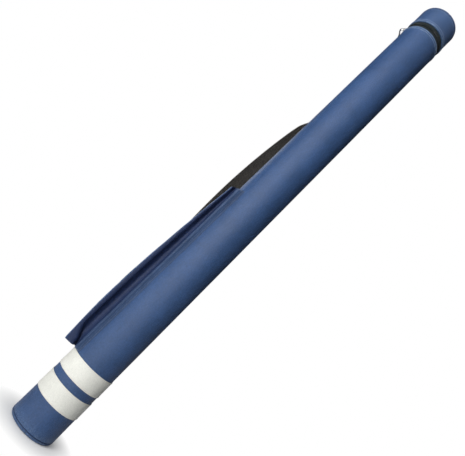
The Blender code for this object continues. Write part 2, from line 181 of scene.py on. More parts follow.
def leather_grain_group():
    """Pebbled grain: rounded cells of two sizes with creases between them."""
    cells_per_metre, pores_per_metre = 900.0, 2070.0
    wire, given, out = new_tree("leather_grain", "Shader", {"Place": VECTOR},
                                {"Height": FLOAT, "Crease Shade": FLOAT})
    warp = wire.scaled(wire.noise(given["Place"], 260.0, 2.0)["Color"], 0.0016)
    place = wire.vector("ADD", given["Place"], warp)
    pebble, pore = (wire.add("ShaderNodeTexVoronoi", {"Vector": place, "Scale": scale},
                             feature="DISTANCE_TO_EDGE").outputs["Distance"]
                    for scale in (cells_per_metre, pores_per_metre))
    height = wire.math("MULTIPLY_ADD", wire.remap(pore, 0.0, 0.25), 0.35, wire.remap(pebble, 0.0, 0.32))
    wire.feed(out["Height"], height)
    # Crease Shade: mask of the creases between the cells, which the leather uses to paint shade into them
    wire.feed(out["Crease Shade"], wire.remap(pebble, 0.0, 0.09, 1.0, 0.0))
    return wire.tree


def cloudy_group():
    """Soft uneven patches, from broad ones to small ones."""
    wire, given, out = new_tree("cloudy", "Shader", {"Place": VECTOR, "Patches per Metre": 14.0},
                                {"Patches": FLOAT, "Specks": FLOAT})
    broad = wire.noise(given["Place"], given["Patches per Metre"], 5.0, 0.6)["Fac"]
    wire.feed(out["Patches"], wire.remap(broad, 0.32, 0.68))
    wire.feed(out["Specks"], wire.noise(given["Place"], 700.0, 2.0)["Fac"])
    return wire.tree


def handling_wear_group():
    """Rubbed places, with any painted highlight kept in the edge attribute: strong where the piece's edge
    attribute is, faint in streaks elsewhere.
    """
    wire, given, out = new_tree("handling_wear", "Shader", {"Place": VECTOR, "Edge": 0.0, "Streaks": 0.3},
                                {"Rubbed": FLOAT, "Scuffs": FLOAT})
    stretched = wire.vector("MULTIPLY", given["Place"], (70.0, 70.0, 16.0))
    faint = wire.remap(wire.noise(stretched, 1.0, 7.0, 0.72)["Fac"], 0.60, 0.80)
    broken = wire.remap(wire.noise(given["Place"], 420.0, 4.0)["Fac"], 0.38, 0.62)
    wire.feed(out["Rubbed"], wire.math("MULTIPLY", given["Edge"], broken))
    wire.feed(out["Scuffs"], wire.math("MULTIPLY", faint, given["Streaks"]))
    return wire.tree


def round_tube_group():
    """Turns object coordinates into distance round the tube, height and distance from the axis."""
    wire, given, out = new_tree("round_tube", "Shader", {"Place": VECTOR, "Radius": 0.048},
                                {"Unrolled": VECTOR})
    x, y, z = wire.split(given["Place"])
    turn = wire.math("ARCTAN2", x, wire.math("MULTIPLY", y, -1.0))
    depth = wire.math("SQRT", wire.math("ADD", wire.math("POWER", x, 2.0), wire.math("POWER", y, 2.0)))
    wire.feed(out["Unrolled"], wire.combined(wire.math("MULTIPLY", turn, given["Radius"]), z, depth))
    return wire.tree


def weave_group():
    """Plain weave of crossing yarns on flat coordinates in metres."""
    wire, given, out = new_tree("weave", "Shader", {"Cloth": VECTOR, "Yarns per Metre": 1400.0},
                                {"Height": FLOAT, "Gap Shade": FLOAT})
    x, y, _ = wire.split(wire.scaled(given["Cloth"], given["Yarns per Metre"]))
    across, length = (wire.math("ABSOLUTE", wire.math("SINE", wire.math("MULTIPLY", side, math.pi)))
                      for side in (x, y))
    over = wire.math("PINGPONG", wire.math("ADD", wire.math("FLOOR", x), wire.math("FLOOR", y)), 1.0)
    weft_up = wire.math("MULTIPLY", length, wire.math("SUBTRACT", 1.0, over))
    wire.feed(out["Height"], wire.math("ADD", wire.math("MULTIPLY", across, over), weft_up))
    # Gap Shade: where the yarns part, which the tape uses to paint shade between them
    wire.feed(out["Gap Shade"], wire.remap(wire.math("MULTIPLY", across, length), 0.0, 0.35, 1.0, 0.0))
    return wire.tree


GROUPS = {build.__name__[:-6]: build() for build in (leather_grain_group, cloudy_group, handling_wear_group,
                                                     round_tube_group, weave_group)}


# ---------------------------------------------------------------- materials

class Finish(Wiring):
    """A material with its Principled surface and the coordinates that its patterns read."""

    def __init__(self, name):
        self.material = bpy.data.materials.new(name)
        self.material.use_nodes = True
        super().__init__(self.material.node_tree)
        self.surface = self.tree.nodes["Principled BSDF"]
        self.place = self.add("ShaderNodeTexCoord").outputs["Object"]

    def group(self, name, inputs):
        return self.add("ShaderNodeGroup", inputs, node_tree=GROUPS[name]).outputs

    def patches(self, per_metre):
        return self.group("cloudy", {"Place": self.place, "Patches per Metre": per_metre})

    def rubbed(self, streaks, strength):
        """Share of the worn colour: streaks anywhere, and more at the edges, where some pieces also keep a
        painted highlight.
        """
        edge = self.add("ShaderNodeAttribute", attribute_name="edge").outputs["Fac"]
        wear = self.group("handling_wear", {"Place": self.place, "Edge": edge, "Streaks": streaks})
        return self.math("MINIMUM", self.math("MULTIPLY_ADD", wear["Rubbed"], strength, wear["Scuffs"]), 1.0)

    def bump(self, height, distance, over=None):
        made = self.add("ShaderNodeBump", {"Height": height, "Distance": distance})
        if over:
            self.feed(made.inputs["Normal"], over)
        return made.outputs["Normal"]

    def finish(self, colour, roughness, normal=None, **others):
        values = {"Base_Color": colour, "Roughness": roughness, **others}
        if normal:
            values["Normal"] = normal
        for key, value in values.items():
            self.feed(self.surface.inputs[key.replace("_", " ")], value)
        return self.material


def rgb(red, green, blue):
    """A colour given in screen values from 0 to 255."""
    def linear(value):
        share = value / 255.0
        return share / 12.92 if share <= 0.04045 else ((share + 0.055) / 1.055) ** 2.4
    return (linear(red), linear(green), linear(blue), 1.0)


def shade(colour, factor, lift=0.0):
    return tuple(min(1.0, channel * factor + lift) for channel in colour[:3]) + (1.0,)


def leather(name, colour, worn, roughness, relief=0.00016, tones=0.16):
    """Grained artificial leather: uneven dye, painted shade in the grain's creases, lighter rubbed edges."""
    made = Finish(name)
    patches = made.patches(16.0)
    grain = made.group("leather_grain", {"Place": made.place})
    rubbed = made.rubbed(0.25, 0.45)
    dyed = made.blend(patches["Patches"], shade(colour, 1.0 - 1.5 * tones), colour)
    tone = made.remap(made.patches(300.0)["Patches"], 0.0, 1.0, 1.0 - tones, 1.0 + tones)
    # Painted shade: the grain's creases are darkened towards 0.45 of the colour.
    crease_shade = made.math("MULTIPLY", grain["Crease Shade"], 0.30)
    shaded_creases = made.blend(crease_shade, made.scaled(dyed, tone), shade(colour, 0.45))
    rough = made.math("MULTIPLY_ADD", patches["Specks"], 0.14, roughness - 0.12)
    rough = made.math("MULTIPLY_ADD", patches["Patches"], 0.10, rough)
    rough = made.math("MULTIPLY_ADD", rubbed, 0.10, rough)
    return made.finish(made.blend(rubbed, shaded_creases, worn), rough, made.bump(grain["Height"], relief), IOR=1.46)


def woven(name, colour, light, yarns, roughness, relief, flat=False, fluffy=0.25):
    """Woven tape or webbing with painted shade in the gaps between its yarns and a little fluff."""
    made = Finish(name)
    if flat:
        cloth = made.add("ShaderNodeUVMap", uv_map="cloth").outputs["UV"]
    else:
        cloth = made.group("round_tube", {"Place": made.place})["Unrolled"]
    yarn = made.group("weave", {"Cloth": cloth, "Yarns per Metre": yarns})
    patches = made.patches(220.0)
    lit = made.blend(made.rubbed(0.0, 0.35), made.blend(patches["Patches"], colour, light), shade(light, 1.8))
    # Painted shade: the gaps between the yarns are darkened towards 0.35 of the colour.
    shown = made.blend(made.math("MULTIPLY", yarn["Gap Shade"], 0.7), lit, shade(colour, 0.35))
    rough = made.math("MULTIPLY_ADD", patches["Specks"], 0.2, roughness - 0.1)
    fluff = made.bump(patches["Specks"], relief * 0.6)
    return made.finish(shown, rough, made.bump(yarn["Height"], relief, over=fluff),
                       Sheen_Weight=fluffy, Sheen_Roughness=0.5)


def fleece(name, colour):
    made = Finish(name)
    tuft = made.noise(made.place, 1100.0, 6.0, 0.7)["Fac"]
    dyed = made.blend(made.patches(40.0)["Patches"], shade(colour, 0.5), colour)
    return made.finish(dyed, 0.95, made.bump(tuft, 0.0012), Sheen_Weight=0.5)


def foam(name, colour):
    made = Finish(name)
    cells = made.add("ShaderNodeTexVoronoi", {"Vector": made.place, "Scale": 900.0}).outputs["Distance"]
    dyed = made.blend(made.patches(40.0)["Patches"], shade(colour, 0.7), colour)
    return made.finish(dyed, 0.9, made.bump(cells, 0.0004))


def moulded(name, colour, roughness):
    """Smooth black plastic with faint drawn lines and finger marks."""
    made = Finish(name)
    patches = made.patches(50.0)
    shown = made.blend(made.rubbed(0.4, 0.6), colour, shade(colour, 2.2, 0.01))
    rough = made.math("MULTIPLY_ADD", patches["Patches"], 0.18, roughness - 0.09)
    return made.finish(shown, rough, made.bump(patches["Specks"], 0.00006))


def metal(name, colour, roughness, streaks):
    made = Finish(name)
    patches = made.patches(220.0)
    shown = made.blend(made.rubbed(streaks, 1.0), colour, shade(colour, 0.5, 0.275))
    rough = made.math("MULTIPLY_ADD", patches["Patches"], 0.2, roughness - 0.1)
    return made.finish(shown, rough, made.bump(patches["Specks"], 0.00004), Metallic=0.9)


def thread(name, colour):
    """Twisted sewing thread."""
    made = Finish(name)
    ply = made.add("ShaderNodeTexWave", {"Vector": made.place, "Scale": 900.0, "Distortion": 1.5},
                   bands_direction="DIAGONAL").outputs["Fac"]
    dyed = made.blend(made.patches(90.0)["Patches"], shade(colour, 0.6), colour)
    return made.finish(dyed, 0.7, made.bump(ply, 0.00012), Sheen_Weight=0.2)


PAINT = {
    "leather_blue": leather("leather_blue", rgb(49, 78, 122), rgb(106, 130, 160), 0.43),
    # leather_dark: darker leather of the gussets, hinge strip and pocket foot; on the front gusset its darkness
    # is also painted shade of the pleat's valley
    "leather_dark": leather("leather_dark", rgb(24, 42, 80), rgb(66, 84, 122), 0.58),
    "leather_white": leather("leather_white", rgb(226, 226, 218), rgb(214, 210, 197), 0.50,
                             relief=0.0001, tones=0.05),
    "leather_seam": leather("leather_seam", rgb(47, 68, 102), rgb(104, 122, 148), 0.52),
    "leather_piping": leather("leather_piping", rgb(42, 64, 102), rgb(66, 84, 122), 0.5),
    "leather_black": leather("leather_black", rgb(22, 28, 38), rgb(58, 64, 76), 0.5),
    "padding_foam": foam("padding_foam", rgb(120, 120, 124)),
    "tube_board": moulded("tube_board", rgb(34, 34, 36), 0.42),
    "lining_fleece": fleece("lining_fleece", rgb(58, 60, 66)),
    "binding_tape": woven("binding_tape", rgb(26, 26, 29), rgb(44, 44, 48), 1700.0, 0.85, 0.00016),
    "webbing_black": woven("webbing_black", rgb(34, 31, 27), rgb(78, 72, 63), 900.0, 0.82, 0.00025, flat=True),
    "zip_tape": woven("zip_tape", rgb(8, 20, 23), rgb(15, 32, 36), 2200.0, 0.92, 0.00014, fluffy=0.04),
    "zip_coil": moulded("zip_coil", rgb(11, 21, 24), 0.36),
    "slider_enamel": metal("slider_enamel", rgb(22, 22, 24), 0.30, 0.5),
    "steel_wire": metal("steel_wire", rgb(196, 194, 188), 0.26, 0.25),
    "thread_blue": thread("thread_blue", rgb(84, 104, 140)),
    "thread_pale": thread("thread_pale", rgb(150, 172, 200)),
    # Dark navy thread that also paints the shade in the dents of its stitches
    "thread_navy": thread("thread_navy", rgb(24, 32, 62)),
    "thread_white": thread("thread_white", rgb(232, 230, 220)),
    "thread_black": thread("thread_black", rgb(34, 33, 32)),
}


# ---------------------------------------------------------------- making pieces

def placed(name, data):
    """An object of the given data, linked to the scene."""
    thing = bpy.data.objects.new(name, data)
    bpy.context.scene.collection.objects.link(thing)
    return thing


def link_piece(name, mesh, paint, body=None, stands_for=(), sharp=40.0):
    """A finished piece at the origin, painted, riding on its body and standing for its CAD nodes."""
    mesh.materials.clear()
    mesh.materials.append(PAINT[paint])
    mesh.shade_smooth()
    mesh.set_sharp_from_angle(angle=math.radians(sharp))
    piece = placed(name, mesh)
    if body:
        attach(piece, body)
    if stands_for:
        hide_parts(*stands_for)
    return piece


def mesh_from(shape, name, edge=None):
    """A bmesh as a mesh whose normals point out; edge gives each corner's share of wear."""
    bmesh.ops.remove_doubles(shape, verts=shape.verts, dist=1e-7)
    bmesh.ops.recalc_face_normals(shape, faces=shape.faces)
    mesh = bpy.data.meshes.new(name)
    shape.to_mesh(mesh)
    shape.free()
    store_edge(mesh, edge or (lambda place: 0.0))
    return mesh


def store_edge(mesh, edge):
    """Keep each corner's share of wear, with any painted highlight that rides on it, from edge(place), in place
    of any kept before.
    """
    if "edge" in mesh.attributes:
        mesh.attributes.remove(mesh.attributes["edge"])
    values = mesh.attributes.new("edge", "FLOAT", "POINT")
    values.data.foreach_set("value", [edge(vertex.co) for vertex in mesh.vertices])


def skinned(sections, loop=False, name="skin", edge=None, uvs=None):
    """Join matching outlines into one closed body, capped unless they form a loop."""
    shape = bmesh.new()
    layer = shape.loops.layers.uv.new("cloth") if uvs else None
    rings = [[shape.verts.new(point) for point in section] for section in sections]
    count = len(rings[0])
    spans = [(k, k + 1) for k in range(len(rings) - 1)]
    if loop:
        spans.append((len(rings) - 1, 0))
    else:
        shape.faces.new(rings[0])
        shape.faces.new(rings[-1])
    for low, high in spans:
        for i in range(count):
            corners = ((low, i), (low, i - 1), (high, i - 1), (high, i))
            face = shape.faces.new([rings[k][j] for k, j in corners])
            if uvs:
                for loop_corner, (k, j) in zip(face.loops, corners):
                    loop_corner[layer].uv = uvs[k][j]
    return mesh_from(shape, name, edge)


def grown(name, seed, tree, values):
    """The plain mesh that a geometry tree makes from a seed mesh."""
    carrier = placed(name + "_seed", seed)
    modifier = carrier.modifiers.new("grow", "NODES")
    modifier.node_group = tree
    for item in tree.interface.items_tree:
        if item.in_out == "INPUT" and item.name in values:
            modifier[item.identifier] = values[item.name]
    graph = bpy.context.evaluated_depsgraph_get()
    mesh = bpy.data.meshes.new_from_object(carrier.evaluated_get(graph))
    carrier.modifiers.remove(modifier)
    bpy.data.objects.remove(carrier)
    mesh.name = name
    return mesh


def polyline_mesh(name, lines, closed=False, edge=None):
    """A mesh of bare edges along one or more lines of points."""
    shape = bmesh.new()
    for line in lines:
        corners = [shape.verts.new(point) for point in line]
        for pair in zip(corners, corners[1:]):
            shape.edges.new(pair)
        if closed:
            shape.edges.new((corners[-1], corners[0]))
    mesh = bpy.data.meshes.new(name)
    shape.to_mesh(mesh)
    shape.free()
    store_edge(mesh, edge or (lambda place: 0.0))
    return mesh


def turning_tree():
    """Sweeps an outline (x out from the mean radius, y down) round the tube, with gentle unevenness."""
    wire, given, out = new_tree("turning", "Geometry", {
        "Outline": GEOMETRY, "Mean Radius": 0.05, "Start Angle": 0.0, "Sweep Angle": 2 * math.pi, "Steps": 180,
        "Unevenness": 0.0, "Seam Rise": 0.0, "Seam Half Width": 0.005, "Surface": MATERIAL},
        {"Geometry": GEOMETRY})
    outline = wire.add("GeometryNodeMeshToCurve", {"Mesh": given["Outline"]})
    whole = wire.math("GREATER_THAN", given["Sweep Angle"], 2 * math.pi - 0.001)
    path = wire.add("GeometryNodeCurveArc", {
        "Resolution": wire.math("ADD", given["Steps"], 1.0), "Radius": given["Mean Radius"],
        "Start Angle": given["Start Angle"], "Sweep Angle": given["Sweep Angle"]}, mode="RADIUS")
    swept = wire.add("GeometryNodeCurveToMesh", {
        "Curve": path.outputs["Curve"], "Profile Curve": outline.outputs["Curve"],
        "Fill Caps": wire.math("SUBTRACT", 1.0, whole)})
    merged = wire.add("GeometryNodeMergeByDistance", {"Geometry": swept.outputs["Mesh"], "Distance": 1e-6})
    place = wire.add("GeometryNodeInputPosition").outputs["Position"]
    x, y, _ = wire.split(place)
    ripple = wire.noise(wire.vector("MULTIPLY", place, (1.0, 1.0, 0.45)), 26.0, 2.0)["Fac"]
    swell = wire.math("MULTIPLY", wire.math("SUBTRACT", ripple, 0.5), given["Unevenness"])
    near_seam = wire.math("SMOOTH_MIN", wire.math("ABSOLUTE", x), given["Seam Half Width"], 0.001)
    lap = wire.math("SUBTRACT", 1.0, wire.math("DIVIDE", near_seam, given["Seam Half Width"]))
    lap = wire.math("MINIMUM", wire.math("MULTIPLY", wire.math("MAXIMUM", lap, 0.0), 5.0), 1.0)
    behind = wire.math("GREATER_THAN", y, 0.0)
    rise = wire.math("MULTIPLY", wire.math("MULTIPLY", lap, behind), given["Seam Rise"])
    push = wire.scaled(wire.vector("NORMALIZE", wire.combined(x, y)), wire.math("ADD", swell, rise))
    moved = wire.add("GeometryNodeSetPosition", {"Geometry": merged.outputs["Geometry"], "Offset": push})
    return wire.hand_out(moved.outputs["Geometry"], given["Surface"], out)


TURNING = turning_tree()


def turned(name, outline, paint, body, stands_for, start=0.0, end=360.0, uneven=0.0, seam=0.0, edge=None,
           steps=ROUND_STEPS):
    """A piece turned round the tube from its (radius, height) outline, fully or between two angles."""
    radii = [radius for radius, _ in outline]
    mean = (min(radii) + max(radii)) / 2
    seed = polyline_mesh(name + "_outline", [[(r - mean, -z, 0.0) for r, z in outline]], closed=True, edge=edge)
    mesh = grown(name, seed, TURNING, {
        "Mean Radius": mean, "Start Angle": math.radians(-90.0 - end), "Sweep Angle": math.radians(end - start),
        "Steps": max(3, round(steps * (end - start) / 360.0)), "Unevenness": uneven, "Seam Rise": seam,
        "Surface": PAINT[paint]})
    return link_piece(name, out_facing(mesh), paint, body, stands_for)


def out_facing(mesh):
    shape = bmesh.new()
    shape.from_mesh(mesh)
    bmesh.ops.remove_doubles(shape, verts=shape.verts, dist=1e-6)
    bmesh.ops.recalc_face_normals(shape, faces=shape.faces)
    shape.to_mesh(mesh)
    shape.free()
    return mesh


def corner(radius, centre_radius, centre_height, start, end, steps=5):
    """Points of an arc in the (radius, height) plane."""
    points = []
    for step in range(steps + 1):
        turn = math.radians(mix(start, end, step / steps))
        points.append((centre_radius + radius * math.cos(turn), centre_height + radius * math.sin(turn)))
    return points


def band_outline(inner, outer, low, high, rounding, rise=None, spacing=None):
    """Outline of a wall with rounded outer corners; rise(height) lifts its outer face."""
    lift = rise or (lambda height: 0.0)
    steps = max(1, round((high - low) / spacing)) if spacing else 1
    levels = [mix(low + rounding, high - rounding, step / steps) for step in range(steps + 1)]
    foot = corner(rounding, outer - rounding + lift(low), low + rounding, -90.0, 0.0)[:-1]
    wall = [(outer + lift(height), height) for height in levels]
    head = corner(rounding, outer - rounding + lift(high), high - rounding, 0.0, 90.0)[1:]
    return [(inner, low)] + foot + wall + head + [(inner, high)]


def ends_edge(low, high, reach, least):
    """Wear near the two ends of an outline, which runs down its own y axis."""
    return lambda place: max(least, 1.0 - smooth(0.0, reach, min(-place[1] - low, high + place[1])))


def walled(name, node, paint, body, rounding, worn=None, least=0.0, rise=None, spacing=None, **how):
    """A turned piece that fills the wall of its CAD node; worn is how far its ends are rubbed, and on the
    sleeve also how far the painted highlight on its hem reaches.
    """
    inner, outer, low, high = shell(node)
    outline = band_outline(inner, outer, low, high, rounding, rise, spacing)
    edge = ends_edge(low, high, worn, least) if worn else None
    return turned(name, outline, paint, body, [node], edge=edge, **how)


# ---------------------------------------------------------------- stage, lights and camera

CAMERA_PLACE = (0.0, -0.9207, 0.3162)
CAMERA_LENS = 34.107
CAMERA_TILT = 90.0 + 13.72
CAMERA_ROLL = 45.40
# Distances from the axis between which the floor fades into the backdrop
FLOOR_SHADE = (0.04, 0.105)
# Name, place, aim, size and power of each light
MIDDLE = (0.0, 0.0, 0.62)
LIGHTS = (("key", (-1.02, -1.70, 1.08), (0.0, 0.0, 0.70), (0.34, 2.2), 57.0),
          ("back_fill", (-1.1, 1.8, 1.1), MIDDLE, (1.0, 1.4), 10.0),
          ("right_fill", (1.9, -0.5, 0.9), MIDDLE, (1.0, 1.8), 1.2),
          ("overhead", (0.1, -0.2, 3.0), (0.0, 0.0, 1.3), (1.6, 1.6), 8.0))


def add_light(name, place, aim, size, power):
    data = bpy.data.lights.new(name, "AREA")
    data.shape = "RECTANGLE"
    data.size, data.size_y = size
    data.energy = power
    light = placed(name, data)
    light.location = place
    light.rotation_euler = (Vector(aim) - Vector(place)).to_track_quat("-Z", "Z").to_euler()


def build_stage():
    shape = bmesh.new()
    bmesh.ops.create_grid(shape, x_segments=1, y_segments=1, size=30.0)
    mesh = bpy.data.meshes.new("floor")
    shape.to_mesh(mesh)
    shape.free()
    paint = Finish("studio_floor")
    mesh.materials.append(paint.finish((0.86, 0.86, 0.86, 1.0), 0.9))
    distance = paint.vector("LENGTH", paint.place).node.outputs["Value"]
    glow = paint.add("ShaderNodeEmission", {"Color": (1.0, 1.0, 1.0, 1.0), "Strength": 1.0})
    seen = paint.add("ShaderNodeLightPath").outputs["Is Camera Ray"]
    share = paint.math("MULTIPLY", paint.remap(distance, *FLOOR_SHADE), seen)
    joined = paint.add("ShaderNodeMixShader", {0: share, 1: paint.surface.outputs[0], 2: glow.outputs[0]})
    paint.feed(paint.tree.nodes["Material Output"].inputs["Surface"], joined.outputs[0])
    floor = placed("studio_floor", mesh)

    world = bpy.data.worlds.new("studio")
    world.use_nodes = True
    wire = Wiring(world.node_tree)
    dim = world.node_tree.nodes["Background"]
    dim.inputs["Color"].default_value = (0.80, 0.87, 1.0, 1.0)
    dim.inputs["Strength"].default_value = 0.05
    bright = wire.add("ShaderNodeBackground", {"Color": (1.0, 1.0, 1.0, 1.0), "Strength": 1.0})
    seen = wire.add("ShaderNodeLightPath").outputs["Is Camera Ray"]
    both = wire.add("ShaderNodeMixShader", {0: seen, 1: dim.outputs[0], 2: bright.outputs[0]})
    wire.feed(world.node_tree.nodes["World Output"].inputs["Surface"], both.outputs[0])
    bpy.context.scene.world = world
    for light in LIGHTS:
        add_light(*light)


def build_camera():
    data = bpy.data.cameras.new("camera")
    data.sensor_width = 36.0
    data.lens = CAMERA_LENS
    camera = placed("camera", data)
    tilt = Matrix.Rotation(math.radians(CAMERA_TILT), 4, "X")
    roll = Matrix.Rotation(math.radians(CAMERA_ROLL), 4, "Z")
    camera.matrix_world = Matrix.Translation(CAMERA_PLACE) @ tilt @ roll
    bpy.context.scene.camera = camera
    bpy.context.scene.view_settings.view_transform = "Standard"


# ---------------------------------------------------------------- leather outside

HEM = 9.0 * MM
HEM_RISE = 0.55 * MM
UNEVEN = 0.5 * MM
SEAM_RISE = 0.45 * MM
# Discs leave this small radius open at the axis
HUB = 0.05 * MM


def build_sleeve():
    hem = shell("body_sleeve")[3] - HEM
    # Both ends lighten over their last 18 mm: rubbed wear, and at the mouth also a painted highlight on the
    # hem.
    walled("blue_sleeve", "body_sleeve", "leather_blue", "case", 0.6 * MM, 18 * MM, 0.08, spacing=9 * MM,
           rise=lambda z: HEM_RISE * smooth(hem - MM, hem + MM, z), uneven=UNEVEN, seam=SEAM_RISE)


def build_bands():
    for name, node in (("white_band_low", "stripe_lower"), ("white_band_high", "stripe_upper")):
        walled(name, node, "leather_white", "case", 0.28 * MM, 2.5 * MM, spacing=4 * MM, uneven=UNEVEN,
               seam=SEAM_RISE)


def ring_line(radius, height, start=0.0, end=360.0, step=2.0):
    """Points round the tube; a whole ring starts and ends at the same place."""
    count = max(2, round((end - start) / step))
    return [at(radius, mix(start, end, k / count), height) for k in range(count + 1)]


# Lines of sewing are gathered here while the pieces are made: thread -> body -> lines of points
SEWING = {}


def sew(thread_name, body, line):
    SEWING.setdefault((thread_name, body), []).append(line)


def sew_ring(thread_name, body, radius, height):
    sew(thread_name, body, ring_line(radius + THREAD_SINK, height))


def build_end_cup(name, node, body, bead_name, bead_node):
    """Leather end panel: flat, slightly crowned, with a rounded corner, and its piping bead."""
    _, rim, low, high = shell(node)
    up, base, crown = (1.0, low, 0.0) if body == "case" else (-1.0, high, 0.35 * MM)
    round_off, skin = 4.6 * MM, 1.5 * MM
    flat = rim - round_off
    outer = [(max(HUB, flat * (k / 8)), -crown * (1 - (k / 8) ** 2)) for k in range(8)]
    outer += corner(round_off, flat, round_off, -90.0, 0.0, 8)
    outer += [(rim, high - low), (rim - skin, high - low)]
    inner = corner(round_off - skin, flat, round_off, 0.0, -90.0, 8) + [(HUB, skin)]
    outline = [(r, base + up * z) for r, z in outer + inner]
    turned(name, outline, "leather_blue", body, [node],
           edge=lambda place: smooth(flat - 2 * MM, flat + 3 * MM, place[0] + (HUB + rim) / 2))
    _, bead_out, bead_low, bead_high = shell(bead_node)
    wire = (bead_high - bead_low) / 2
    turned(bead_name, corner(wire, bead_out - wire, (bead_low + bead_high) / 2, 0.0, 337.5, 15),
           "leather_piping", body, [bead_node], edge=lambda place: 0.2)


def build_cover():
    """The lid's leather wall, hemmed where it meets the zip."""
    hem = shell("lid_cover")[2] + HEM
    walled("blue_lid_wall", "lid_cover", "leather_blue", "lid", 0.6 * MM, 9 * MM, 0.35, spacing=7 * MM,
           rise=lambda z: HEM_RISE * (1.0 - smooth(hem - MM, hem + MM, z)), uneven=UNEVEN * 0.6, seam=SEAM_RISE)


def build_round_lines():
    """Top-stitching that runs round the tube, and up both sides of the lap seam."""
    for node, body in (("body_sleeve", "case"), ("lid_cover", "lid")):
        _, outer, low, high = shell(node)
        mouth, far_end, into = (high, low, -1.0) if body == "case" else (low, high, 1.0)
        for inset in (2.6 * MM, HEM - 1.2 * MM):
            sew_ring("thread_pale", body, outer + HEM_RISE, mouth + into * inset)
        sew_ring("thread_blue", body, outer, far_end - into * 3.2 * MM)
    for node in ("stripe_lower", "stripe_upper"):
        _, outer, low, high = shell(node)
        for height in (low + 1.9 * MM, high - 1.9 * MM):
            sew_ring("thread_white", "case", outer, height)
    _, outer, low, high = shell("body_sleeve")
    for angle in (SEAM_ANGLE - 3.6, SEAM_ANGLE + 3.6):
        sew("thread_blue", "case", [at(outer + 0.5 * MM, angle, mix(low + 5 * MM, high - HEM - 2 * MM, k / 60))
                                    for k in range(61)])


def stitch_tree():
    """Lays stitches, each a small pressed-in loop of thread, end to end along every line."""
    wire, given, out = new_tree("stitching", "Geometry", {
        "Lines": GEOMETRY, "Pitch": STITCH_PITCH, "Stitch Length": STITCH_LENGTH,
        "Thread Radius": THREAD_RADIUS, "Thread": MATERIAL}, {"Geometry": GEOMETRY})
    lines = wire.add("GeometryNodeMeshToCurve", {"Mesh": given["Lines"]})
    spaced = wire.add("GeometryNodeResampleCurve", {"Curve": lines.outputs["Curve"], "Length": given["Pitch"]},
                      mode="LENGTH")
    ball = wire.add("GeometryNodeMeshUVSphere", {"Segments": 6, "Rings": 5, "Radius": 1.0})
    size = wire.combined(given["Thread Radius"], given["Thread Radius"],
                         wire.math("MULTIPLY", given["Stitch Length"], 0.5))
    loop = wire.add("GeometryNodeTransform", {"Geometry": ball.outputs["Mesh"], "Scale": size})
    heading = wire.add("GeometryNodeInputTangent").outputs["Tangent"]
    turn = wire.add("FunctionNodeAlignRotationToVector", {"Vector": heading}, axis="Z")
    laid = wire.add("GeometryNodeInstanceOnPoints", {
        "Points": spaced.outputs["Curve"], "Instance": loop.outputs["Geometry"],
        "Rotation": turn.outputs["Rotation"]})
    return wire.hand_out(laid.outputs["Instances"], given["Thread"], out)


def build_sewing():
    tree = stitch_tree()
    for (thread_name, body), lines in SEWING.items():
        name = "stitches_" + thread_name.split("_")[1] + "_" + body
        mesh = grown(name, polyline_mesh(name + "_lines", lines), tree, {
            "Thread": PAINT[thread_name],
            "Thread Radius": HEAVY_THREAD if thread_name in ("thread_navy", "thread_pale") else THREAD_RADIUS})
        link_piece(name, mesh, thread_name, body)


# ---------------------------------------------------------------- tube, padding and lining inside

def build_inside():
    """Board tube, fleece and foam of the body and of the lid, with their discs at both ends."""
    for name, node, body in (("rigid_tube", "body_tube", "case"), ("rigid_lid_tube", "lid_tube", "lid")):
        walled(name, node, "tube_board", body, 0.5 * MM, 3 * MM)
    for name, node, paint, body in (
            ("fleece_wall", "body_lining", "lining_fleece", "case"),
            ("fleece_lid_wall", "lid_lining", "lining_fleece", "lid"),
            ("foam_wrap", "body_padding", "padding_foam", "case"),
            ("foam_lid_wrap", "lid_padding", "padding_foam", "lid")):
        walled(name, node, paint, body, 0.3 * MM, spacing=12 * MM, uneven=0.15 * MM, steps=90)
    for name, end, body in (("floor", "base", "case"), ("lid", "lid", "lid")):
        for layer, node, paint in (("_board", "_disc", "tube_board"), ("_foam", "_foam_pad", "padding_foam"),
                                   ("_fleece", "_lining_disc", "lining_fleece")):
            _, outer, low, high = shell(end + node)
            turned(name + layer, disc_outline(outer, low, high), paint, body, [end + node], steps=90)


def disc_outline(radius, low, high, rings=8):
    rounding = min(0.9 * MM, (high - low) * 0.4)
    floor = [(mix(HUB, radius - rounding, k / rings), low) for k in range(rings)]
    foot = corner(rounding, radius - rounding, low + rounding, -90.0, 0.0, 3)
    head = corner(rounding, radius - rounding, high - rounding, 0.0, 90.0, 3)
    top = [(mix(radius - rounding, HUB, (k + 1) / rings), high) for k in range(rings)]
    return floor + foot + head + top


# ---------------------------------------------------------------- mouth, zip and hinge

TOOTH_REACH = 3.4 * MM
# The upper teeth are turned by this many degrees, to sit between the lower ones
HALF_TOOTH = 0.9


def arc_of(node):
    """First and last angle of a CAD node that covers part of the way round the tube."""
    angles = sorted({round(math.degrees(math.atan2(-point.x, -point.y)) % 360.0, 2)
                     for point in corners_of(node)})
    gaps = [(b - a, b, a) for a, b in zip(angles, angles[1:] + [angles[0] + 360.0])]
    _, first, last = max(gaps)
    return first - 360.0 * (first > last), last


def build_mouth():
    for name, node, body in (("mouth_edge_tape", "mouth_binding", "case"),
                             ("lid_edge_tape", "lid_mouth_binding", "lid")):
        walled(name, node, "binding_tape", body, 0.5 * MM)


